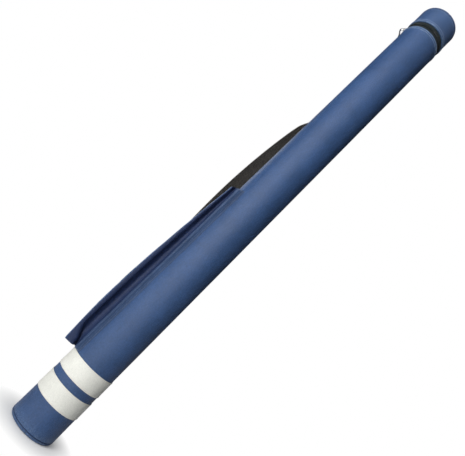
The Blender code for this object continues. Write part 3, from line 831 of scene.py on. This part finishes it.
def tooth_tree():
    """Sets zip teeth side by side along a line; each is a bent loop of the nylon coil."""
    wire, given, out = new_tree("zip_teeth", "Geometry", {
        "Line": GEOMETRY, "Pitch": 1.7 * MM, "Reach": 3.2 * MM, "Height": 1.2 * MM, "Coil Radius": 0.42 * MM,
        "Side": 1.0, "Nylon": MATERIAL}, {"Geometry": GEOMETRY})
    line = wire.add("GeometryNodeMeshToCurve", {"Mesh": given["Line"]})
    spaced = wire.add("GeometryNodeResampleCurve", {"Curve": line.outputs["Curve"], "Length": given["Pitch"]},
                      mode="LENGTH")
    bow = wire.add("GeometryNodeCurveArc", {"Resolution": 7, "Radius": 1.0, "Start Angle": math.radians(-75.0),
                                            "Sweep Angle": math.radians(150.0)}, mode="RADIUS")
    section = wire.add("GeometryNodeCurvePrimitiveCircle", {"Resolution": 6, "Radius": given["Coil Radius"]})
    size = wire.combined(given["Reach"], wire.math("MULTIPLY", given["Height"], 0.5), 1.0)
    bent = wire.add("GeometryNodeTransform", {"Geometry": bow.outputs["Curve"], "Scale": size})
    wound = wire.add("GeometryNodeCurveToMesh", {"Curve": bent.outputs["Geometry"],
                                                 "Profile Curve": section.outputs["Curve"], "Fill Caps": True})
    place = wire.add("GeometryNodeInputPosition").outputs[0]
    away = wire.vector("NORMALIZE", wire.vector("MULTIPLY", place, (1.0, 1.0, 0.0)))
    lift = wire.add("FunctionNodeAlignRotationToVector", {"Vector": away}, axis="Y")
    level = wire.combined(z=given["Side"])
    stand = wire.add("FunctionNodeAlignRotationToVector", {
        "Rotation": lift.outputs["Rotation"], "Vector": level}, axis="X", pivot_axis="Y")
    laid = wire.add("GeometryNodeInstanceOnPoints", {
        "Points": spaced.outputs["Curve"], "Instance": wound.outputs["Mesh"],
        "Rotation": stand.outputs["Rotation"]})
    return wire.hand_out(laid.outputs["Instances"], given["Nylon"], out)


def build_zip():
    teeth = tooth_tree()
    middle = (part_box("zip_coil_lower")[1].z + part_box("zip_coil_upper")[0].z) / 2
    for side, word, body in ((-1.0, "lower", "case"), (1.0, "upper", "lid")):
        outer = shell("zip_tape_" + word)[1]
        first, last = arc_of("zip_tape_" + word)
        walled("zip_cloth_" + word, "zip_tape_" + word, "zip_tape", body, 0.2 * MM, start=first, end=last)
        coil_in, coil_out, _, _ = shell("zip_coil_" + word)
        first, last = arc_of("zip_coil_" + word)
        radius = (coil_in + coil_out) / 2 - 0.1 * MM
        line = ring_line(radius, middle + side * (TOOTH_REACH - 0.45 * MM), first + 0.5, last - 0.5, 1.0)
        if side > 0:
            line = [Matrix.Rotation(math.radians(-HALF_TOOTH), 3, "Z") @ point for point in line]
        mesh = grown("teeth_" + word, polyline_mesh("teeth_line", [line]), teeth, {
            "Reach": TOOTH_REACH, "Height": coil_out - coil_in - 0.3 * MM, "Side": -side,
            "Nylon": PAINT["zip_coil"]})
        link_piece("zip_teeth_" + word, mesh, "zip_coil", body, ["zip_coil_" + word])
        sew("thread_black", body, ring_line(outer + 0.15 * MM, middle + side * (TOOTH_REACH + 0.7 * MM),
                                            first, last))
    for name, node in (("zip_end_near", "zip_stop_near"), ("zip_end_far", "zip_stop_far")):
        inner, outer, low, high = shell(node)
        first, last = arc_of(node)
        outline = band_outline(inner - 0.1 * MM, outer + 0.2 * MM, low - 1.8 * MM, high + 0.1 * MM, 0.45 * MM)
        turned(name, outline, "steel_wire", "case", [node], first, last, edge=lambda place: 0.5)


def build_hinge():
    """The leather strip that joins body and lid behind the zip's two ends."""
    inner, outer, low, _ = shell("hinge_leaf_lower")
    high = shell("hinge_leaf_upper")[3]
    first, last = arc_of("hinge_leaf_lower")
    middle = (low + high) / 2
    sections = []
    levels, count = 36, 30
    for level in range(levels + 1):
        height = mix(low, high, level / levels)
        away = abs(height - middle)
        puff = 0.9 * MM * (1.0 - smooth(5.5 * MM, 8.5 * MM, away))
        puff -= 0.35 * MM * (1.0 - smooth(0.0, 1.6 * MM, away))
        ring = []
        for radius, order in ((outer + puff, 1), (inner + max(0.0, puff - 0.2 * MM), -1)):
            for step in range(count + 1)[::order]:
                share = step / count
                close = smooth(0.0, 0.04, min(share, 1.0 - share))
                ring.append(at(radius - (1.0 - close) * 0.3 * MM * order, mix(first, last, share), height))
        sections.append(ring)
    mesh = skinned(sections, name="hinge_strip",
                   edge=lambda place: 0.8 * (1.0 - smooth(0.0, 3 * MM, abs(place.z - middle))))
    piece = link_piece("hinge_strip", mesh, "leather_dark", None, ["hinge_leaf_lower", "hinge_leaf_upper"])
    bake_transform(piece)


# ---------------------------------------------------------------- slider and pull

def plate_sections(half_length, half_width, inner, outer, height, domed):
    """Curved plate round the tube at the slider: sections along it, rounded at all its edges."""
    def square(value):
        return math.copysign(abs(value) ** 0.45, value)

    sections = []
    steps, around = 14, 16
    for step in range(steps + 1):
        share = mix(-1.0, 1.0, step / steps)
        end_round = math.sqrt(max(0.0, 1.0 - abs(share) ** 5))
        wide = half_width * (0.80 + 0.20 * smooth(0.3, -0.6, share)) * max(0.12, end_round)
        thick = (outer - inner) / 2 * max(0.25, end_round)
        middle = (outer + inner) / 2 + domed * (1.0 - share * share)
        turns = [2 * math.pi * k / around for k in range(around)]
        sections.append([at(middle + thick * square(math.sin(turn)), SLIDER_ANGLE + half_length * share,
                            height + wide * square(math.cos(turn))) for turn in turns])
    return sections


def build_slider():
    inner, outer, low, high = shell("zip_slider")
    height = (low + high) / 2
    half_width = (high - low) / 2 + 0.9 * MM
    plates = [skinned(plate_sections(*shape)) for shape in (
        (7.6, half_width, outer - 1.2 * MM, outer + 0.1 * MM, height, 0.15 * MM),
        (7.2, half_width - 0.4 * MM, inner + 0.1 * MM, inner + 1.1 * MM, height, 0.0))]
    post = skinned([[at(radius, SLIDER_ANGLE + dx, height + dz) for dx, dz in
                     ((-6.5, 0.0), (-5.0, -0.5 * MM), (-3.0, -0.3 * MM), (-3.0, 0.3 * MM), (-5.0, 0.5 * MM))]
                    for radius in (inner + 0.8 * MM, outer - 0.9 * MM)])
    near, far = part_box("slider_bail")
    half = (far.y - near.y) / 2 - 0.4 * MM
    out, round_tube = outward(SLIDER_ANGLE), along(SLIDER_ANGLE)
    top = max(point.dot(out) for point in corners_of("slider_bail")) - 0.5 * MM
    path = []
    for k in range(17):
        turn = math.pi * k / 16
        lean = math.copysign(abs(math.cos(turn)) ** 0.6, math.cos(turn))
        path.append(round_tube * (-half * lean) + out * mix(outer - 0.3 * MM, top, math.sin(turn) ** 0.5)
                    + Vector((0, 0, height)))
    bail = swept_wire(path, Vector((0, 0, 1)), 0.55 * MM, widths=lambda share: 1.0 + 0.8 * (2 * share - 1) ** 4)
    mesh = joined_mesh("slider_body", plates + [post, bail], lambda place: 0.5)
    link_piece("slider_body", mesh, "slider_enamel", "slider", ["zip_slider", "slider_bail"])


def swept_wire(path, normal, radius, loop=False, sides=10, widths=lambda share: 1.0):
    """A round wire along a flat path whose plane has the given normal."""
    sections = []
    last = len(path) - 1
    for i, point in enumerate(path):
        before = path[i - 1] if loop or i else point
        after = path[(i + 1) % len(path)] if loop or i < last else point
        side = (after - before).normalized().cross(normal)
        wide = radius * widths(i / last)
        sections.append([point + wide * (math.cos(t) * side + math.sin(t) * normal)
                         for t in (2 * math.pi * step / sides for step in range(sides))])
    return skinned(sections, loop)


def joined_mesh(name, meshes, edge):
    shape = bmesh.new()
    for mesh in meshes:
        shape.from_mesh(mesh)
    joined = bpy.data.meshes.new(name)
    shape.to_mesh(joined)
    shape.free()
    store_edge(joined, edge)
    return joined


def build_pull():
    """A wire loop hung on the slider's bail, with a short leather tab folded over its foot."""
    out, round_tube, up = outward(SLIDER_ANGLE), along(SLIDER_ANGLE), Vector((0, 0, 1))

    def reach(points, way):
        return max(point.dot(way) for point in points)

    points = corners_of("pull_ring")
    middle = sum(points, Vector()) / len(points)
    wire = (reach(points, round_tube) + reach(points, -round_tube)) / 2
    tilt = math.radians(RING_TILT)
    hang = out * math.sin(tilt) - up * math.cos(tilt)
    across = out * math.cos(tilt) + up * math.sin(tilt)
    half_long, half_wide = (reach([point - middle for point in points], way) - wire for way in (hang, across))
    path = []
    for centre, start in ((middle - hang * (half_long - half_wide), 0.0),
                          (middle + hang * (half_long - half_wide), math.pi)):
        for step in range(13):
            turn = start + math.pi * step / 12
            path.append(centre + half_wide * (math.cos(turn) * across - math.sin(turn) * hang))
    ring = swept_wire(path, round_tube, wire, loop=True, sides=12)
    store_edge(ring, lambda place: 0.4)
    link_piece("pull_loop", ring, "steel_wire", "pull", ["pull_ring"])

    foot = middle + hang * half_long
    tab = corners_of("pull_tab")
    tab_low = -reach(tab, -up)
    length = foot.z - tab_low
    lean = reach(tab, out) - reach([point for point in tab if point.z < tab_low + MM], out)
    thick, width = 0.9 * MM, 3.4 * MM
    gap = wire + 0.15 * MM + thick / 2
    line = [(mix(thick * 0.55, gap, smooth(0.75, 1.0, k / 12)), -length * (1 - k / 12)) for k in range(13)]
    line += [(gap * math.cos(math.pi * k / 12), gap * math.sin(math.pi * k / 12)) for k in range(1, 12)]
    line += [(-x, y) for x, y in line[12::-1]]
    section = ((-1, -1), (-0.92, -1), (0.92, -1), (1, -0.6), (1, 0.6), (0.92, 1), (-0.92, 1), (-1, 0.6))
    sections = []
    for i, (x, y) in enumerate(line):
        before, after = line[max(0, i - 1)], line[min(len(line) - 1, i + 1)]
        heading = Vector((after[0] - before[0], after[1] - before[1])).normalized()
        normal = Vector((heading.y, -heading.x))
        grow = 1.0 + 0.22 * (1.0 - smooth(-length, -length * 0.4, y))
        ring = []
        for u, v in section:
            flat = Vector((x, y)) + normal * (v * thick / 2)
            inward = lean * smooth(0.0, -length, flat.y)
            ring.append(foot + round_tube * flat.x + up * flat.y + out * (u * width / 2 * grow - inward))
        sections.append(ring)
    mesh = skinned(sections, edge=lambda place: 0.6)
    link_piece("pull_tab_leather", mesh, "leather_black", "pull", ["pull_tab"])
    for side in (-1, 1):
        line = []
        for k in range(12):
            y = -mix(length * 0.38, length - 1.5 * MM, k / 11)
            inward = lean * smooth(0.0, -length, y)
            line.append(foot + round_tube * (side * thick * 1.1) + up * y - out * inward)
        sew("thread_black", "pull", line)


# ---------------------------------------------------------------- side pocket

POCKET_LOW = 153.4 * MM
POCKET_HIGH = 607.0 * MM
POCKET_HEM = 9.0 * MM
POCKET_LEVELS = 108
FLANGE_RADIUS = 50.2 * MM
LEATHER_HALF = 0.6 * MM
# Where the parts of the pocket's leather begin and end, as places in the list of bends
FRONT_FLANGE = (0, 7.4)
GUSSET = (6.6, 14.6)
PANEL = (14.0, 23.0)
REAR_GUSSET = (22.4, 28.5)
REAR_FLANGE = (27.5, 33)


def pocket_bends(height):
    """Corners of the pocket's outline at one height, as (out, back) from the tube's axis."""
    share = min(1.0, max(0.0, (height - POCKET_LOW) / (POCKET_HIGH - POCKET_LOW)))
    late = share * share
    belly = 9.0 * MM * math.sin(math.pi * share ** 0.75)
    edge = mix(74.0 * MM, 63.5 * MM, share) + belly
    ridge_out, ridge_back = mix(47.8, 50.4, late) * MM, -mix(21.6, 18.4, late) * MM
    pleat_out, pleat_back = mix(64.0, 57.0, late) * MM, -mix(8.8, 9.6, late) * MM
    front = -mix(24.5, 19.0, late) * MM
    pressed = 1.0 - smooth(4 * MM, 46 * MM, height - POCKET_LOW)
    nose = mix(0.62 * (edge - pleat_out), edge - ridge_out - 7.5 * MM, pressed)
    pleat_out = mix(pleat_out, edge - nose - 0.5 * MM, pressed)
    rear_out = mix(63.0, 57.0, late) * MM

    def ring(angle, radius):
        place = outward(angle) * radius
        return -place.x, place.y

    flange = FLANGE_RADIUS + LEATHER_HALF
    ridge_angle = math.degrees(math.atan2(ridge_out, -ridge_back))
    bends = [ring(angle, flange) for angle in (46.0, 49.0, 52.0, 55.5, 59.0)]
    bends += [ring(ridge_angle - 3.0, flange + 0.4 * MM), (ridge_out, ridge_back),
              (ridge_out + 1.8 * MM, ridge_back + 1.0 * MM),
              (mix(ridge_out, pleat_out, 0.28), mix(ridge_back, pleat_back, 0.62)),
              (mix(ridge_out, pleat_out, 0.66), pleat_back + 0.4 * MM), (pleat_out, pleat_back),
              (edge - nose - 0.2 * MM, mix(pleat_back, front, 0.45)), (edge - nose * 0.85, front + 2.6 * MM),
              (edge - nose * 0.50, front + 0.5 * MM), (edge - 1.0 * MM, front - 0.2 * MM),
              (edge + 0.1 * MM, front + 1.2 * MM)]
    bends += [(edge + 1.4 * MM * math.sin(math.pi * k / 7), mix(front, 12.8 * MM, k / 7)) for k in range(1, 7)]
    bends += [(edge + 0.4 * MM, 12.2 * MM), (edge - 0.8 * MM, 13.2 * MM), (edge - 3.2 * MM, 12.4 * MM),
              (edge - 4.2 * MM, 10.0 * MM), (rear_out, 6.8 * MM), (mix(rear_out, 52.2 * MM, 0.5), 7.6 * MM),
              ring(99.2, 52.6 * MM), ring(100.6, 51.1 * MM), ring(102.4, flange), ring(104.6, flange),
              ring(106.4, flange), ring(108.2, flange), ring(110.0, flange)]
    return bends


def rounded(bends):
    """The outline with its corners cut twice; each bend k comes out near place 4k + 1."""
    for _ in range(2):
        finer = [bends[0]]
        for a, b in zip(bends, bends[1:]):
            finer += [(mix(a[0], b[0], t), mix(a[1], b[1], t)) for t in (0.25, 0.75)]
        bends = finer + [bends[-1]]
    return bends


def pocket_slack(place, height):
    """How far the leather stands proud or sunken, from its folds and creases."""
    free = smooth(6.0, 9.0, place) * (1.0 - smooth(25.0, 28.0, place))
    firm = 0.45 if 11.5 < place < 16.0 else 1.0
    ends = smooth(0.0, 25 * MM, height - POCKET_LOW) * (0.4 + 0.6 * smooth(0.0, 60 * MM, POCKET_HIGH - height))
    folds = noise.noise(Vector((place * 0.22, height * 17.0, 4.7)))
    creases = noise.noise(Vector((place * 0.55 + height * 46.0, height * 60.0, 9.1)))
    return free * firm * ends * (1.5 * MM * folds + 0.55 * MM * creases)


def pocket_sides(height):
    """Outer and inner points of the leather at one height, with the place in the list of bends of each."""
    line = [Vector((-out, back, height)) for out, back in rounded(pocket_bends(height))]
    last = len(line) - 1
    sag = 8.0 * MM * smooth(POCKET_HIGH - 70 * MM, POCKET_HIGH, height)
    hem = 0.35 * MM * smooth(-0.5 * MM, 0.5 * MM, height - POCKET_HIGH + POCKET_HEM)
    sides = []
    for i, point in enumerate(line):
        heading = (line[min(last, i + 1)] - line[max(0, i - 1)]).normalized()
        normal = Vector((-heading.y, heading.x, 0.0))
        place = max(0.0, (i - 1.5) / 4)
        thin = min(1.0, 0.25 + 0.75 * min(i, last - i) / 9)
        half = LEATHER_HALF * thin + hem * smooth(5.0, 8.0, place) * (1.0 - smooth(26.0, 28.0, place))
        settle = (thin - 1.0) * LEATHER_HALF + pocket_slack(place, height)
        point = point - Vector((0.0, 0.0, sag * smooth(9.0, 15.0, place) * (1.0 - smooth(23.0, 28.0, place))))
        sides.append((place, point + normal * (settle + half), point + normal * (settle - half), normal))
    return sides


def build_pocket():
    heights = [mix(POCKET_LOW, POCKET_HIGH, k / POCKET_LEVELS) for k in range(POCKET_LEVELS + 1)]
    columns = [pocket_sides(height) for height in heights]
    welt = PANEL[0]

    def strip(name, part, paint, node, thinner=0.0, raised=0.0):
        """One part of the leather; raised lifts the rolled edge where the panel meets the gusset."""
        sections = []
        for sides in columns:
            chosen = [side for side in sides if part[0] <= side[0] <= part[1]]
            outer = []
            for place, out, _, normal in chosen:
                roll = smooth(welt, welt + 0.3, place) * (1.0 - smooth(welt + 1.1, welt + 1.6, place))
                outer.append(out + normal * (raised * roll - thinner))
            inner = [inside + normal * thinner for _, _, inside, normal in chosen]
            sections.append(outer + inner[::-1])
        mesh = skinned(sections, name=name)
        # Painted highlight: the fold where the panel meets the gusset gets a lighter edge share, as if it
        # caught the light.
        fold_highlight = [max(0.0, 1.0 - abs(side[0] - welt - 1.0) / 0.9) for side in chosen]
        fold_highlight = (fold_highlight + fold_highlight[::-1]) * len(columns)
        for value, vertex, folded in zip(mesh.attributes["edge"].data, mesh.vertices, fold_highlight):
            height = vertex.co.z
            at_end = 1.0 - smooth(0.0, 5 * MM, min(height - POCKET_LOW, POCKET_HIGH - height))
            # Rubbed wear at the pocket's ends, and the painted highlight along the fold.
            value.value = max(at_end, 0.7 * folded)
        link_piece(name, mesh, paint, "case", node, sharp=60.0)

    strip("pocket_front_strip", FRONT_FLANGE, "leather_seam", ["pocket_flange_front"])
    # Painted shade: the front gusset's darker leather is partly its own colour and partly the shadow in the
    # pleat's valley.
    strip("pocket_gusset", GUSSET, "leather_dark", ["pocket_gusset_front"], thinner=0.2 * MM)
    strip("pocket_leather", PANEL, "leather_blue", ["pocket_panel", "pocket_hem"], raised=0.45 * MM)
    strip("pocket_rear_gusset", REAR_GUSSET, "leather_dark", ["pocket_gusset_rear"], thinner=0.2 * MM)
    strip("pocket_rear_strip", REAR_FLANGE, "leather_blue", ["pocket_flange_rear"])

    low, high = (end.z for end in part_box("pocket_floor"))
    sections = []
    for height, inset in ((low, 0.5 * MM), (low + 0.5 * MM, 0.0), (high - 0.5 * MM, 0.0), (high, 0.5 * MM)):
        edge = [side[2] - side[3] * inset for side in pocket_sides(high) if 6.2 <= side[0] <= 28.4]
        wall = [at(50.25 * MM, mix(100.0, 66.0, k / 12), height) for k in range(13)]
        sections.append([Vector((point.x, point.y, height)) for point in edge] + wall)
    link_piece("pocket_foot", skinned(sections), "leather_dark", "case", ["pocket_floor"])

    def sew_up(thread_name, place, below=3 * MM, length=None):
        """A row of stitches up the pocket, or over the given length below its mouth."""
        top = POCKET_HIGH - 2 * MM
        bottom = POCKET_LOW + below if length is None else top - length
        count = round((top - bottom) / (4 * MM))
        line = []
        for k in range(count + 1):
            sides = pocket_sides(mix(bottom, top, k / count))
            nearest = min(sides, key=lambda side: abs(side[0] - place))
            line.append(nearest[1] + nearest[3] * THREAD_SINK)
        sew(thread_name, "case", line)

    for place in (1.0, 3.0):
        sew_up("thread_blue", place)
    # Painted shade: these rows use dark, heavy thread that stands for the stitches and the shadows of their
    # dents.
    for place in (1.9, 2.8):
        sew_up("thread_navy", place, length=56 * MM)
    sew_up("thread_blue", 31.0)
    for place in (welt + 2.2, 21.6):
        sew_up("thread_blue", place, below=2 * MM)
    for height in (POCKET_LOW + 3 * MM, POCKET_HIGH - 2.6 * MM, POCKET_HIGH - POCKET_HEM + 1.6 * MM):
        sew("thread_blue", "case", [side[1] + side[3] * THREAD_SINK for side in pocket_sides(height)
                                    if 16.6 <= side[0] <= 21.2])


# ---------------------------------------------------------------- carrying strap

STRAP_WIDTH = 40.0 * MM
STRAP_THICKNESS = 1.8 * MM
STRAP_MIDDLE = 598.0 * MM
STRAP_HALF_SPAN = 270.0 * MM
STRAP_BOW = 43.4 * MM
STRAP_SEWN = 45.0 * MM
STRAP_BED = 50.25 * MM
RIB = 0.75 * MM


def strap_bow(height):
    away = min(1.0, abs(height - STRAP_MIDDLE) / STRAP_HALF_SPAN)
    return STRAP_BOW * (1.0 - away ** 1.8) ** 0.6


def strap_point(across, depth, height):
    """A point of the strap: sewn down round the tube at its ends, cupped a little where it is free."""
    bow = strap_bow(height)
    free = smooth(0.5 * MM, 16 * MM, bow)
    cup = 1.1 * MM * free * (1.0 - (2.0 * across / STRAP_WIDTH) ** 2)
    ripple = 0.5 * MM * free * noise.noise(Vector((across * 18.0, height * 14.0, 2.3)))
    flat = outward(STRAP_ANGLE) * (STRAP_BED + bow + cup + ripple + depth) + along(STRAP_ANGLE) * across
    wrapped = outward(STRAP_ANGLE + math.degrees(across / STRAP_BED)) * (STRAP_BED + depth)
    return wrapped.lerp(flat, free) + Vector((0.0, 0.0, height))


def build_strap():
    """Two halves of ribbed webbing that meet at the middle of the carrying loop."""
    columns, rim = 22, 0.35 * MM
    across_steps = [STRAP_WIDTH * (k / columns - 0.5) for k in range(columns + 1)]
    outline = [(across, STRAP_THICKNESS, 1.0) for across in across_steps]
    outline.append((STRAP_WIDTH / 2 + rim, STRAP_THICKNESS * 0.5, 0.0))
    outline += [(across, 0.0, -1.0) for across in across_steps[::-1]]
    outline.append((-STRAP_WIDTH / 2 - rim, STRAP_THICKNESS * 0.5, 0.0))
    reach = STRAP_HALF_SPAN + STRAP_SEWN
    rows = round(reach / RIB)
    for side, word in ((1, "upper"), (-1, "lower")):
        sections, cloth, run, before = [], [], 0.0, None
        for row in range(rows + 1):
            height = STRAP_MIDDLE + side * reach * row / rows
            spine = strap_point(0.0, 0.0, height)
            run += (spine - before).length if before else 0.0
            before = spine
            swell = 0.11 * MM if row % 2 else -0.06 * MM
            end = 1.0 - smooth(reach - 1.2 * MM, reach, reach * row / rows)
            ring = []
            for across, depth, face in outline:
                shallow = mix(0.35 * STRAP_THICKNESS, depth, end) if face > 0 else depth
                ring.append(strap_point(across, shallow + face * swell, height))
            sections.append(ring)
            cloth.append([(across, run) for across, _, _ in outline])
        mesh = skinned(sections, name="strap_" + word, edge=lambda place: 0.25, uvs=cloth)
        piece = link_piece("strap_" + word, mesh, "webbing_black", None, ["strap_span", "strap_tail_" + word])
        root = STRAP_MIDDLE + side * STRAP_HALF_SPAN
        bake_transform(piece)
        near, far = root + side * 5 * MM, root + side * (STRAP_SEWN - 4 * MM)
        wide = STRAP_WIDTH / 2 - 4 * MM
        corners = [(-wide, near), (wide, near), (wide, far), (-wide, far), (-wide, near), (wide, far)]
        for path in (corners, [(-wide, far), (wide, near)]):
            for (a0, z0), (a1, z1) in zip(path, path[1:]):
                sew("thread_black", "case", [strap_point(mix(a0, a1, k / 12), STRAP_THICKNESS + 0.12 * MM,
                                                         mix(z0, z1, k / 12)) for k in range(13)])


build_stage()
build_camera()
build_sleeve()
build_bands()
build_end_cup("base_cup", "base_panel", "case", "base_bead", "base_piping")
build_end_cup("lid_cup", "lid_end_panel", "lid", "lid_bead", "lid_piping")
build_cover()
build_inside()
build_mouth()
build_zip()
build_hinge()
build_slider()
build_pull()
build_pocket()
build_strap()
build_round_lines()
build_sewing()
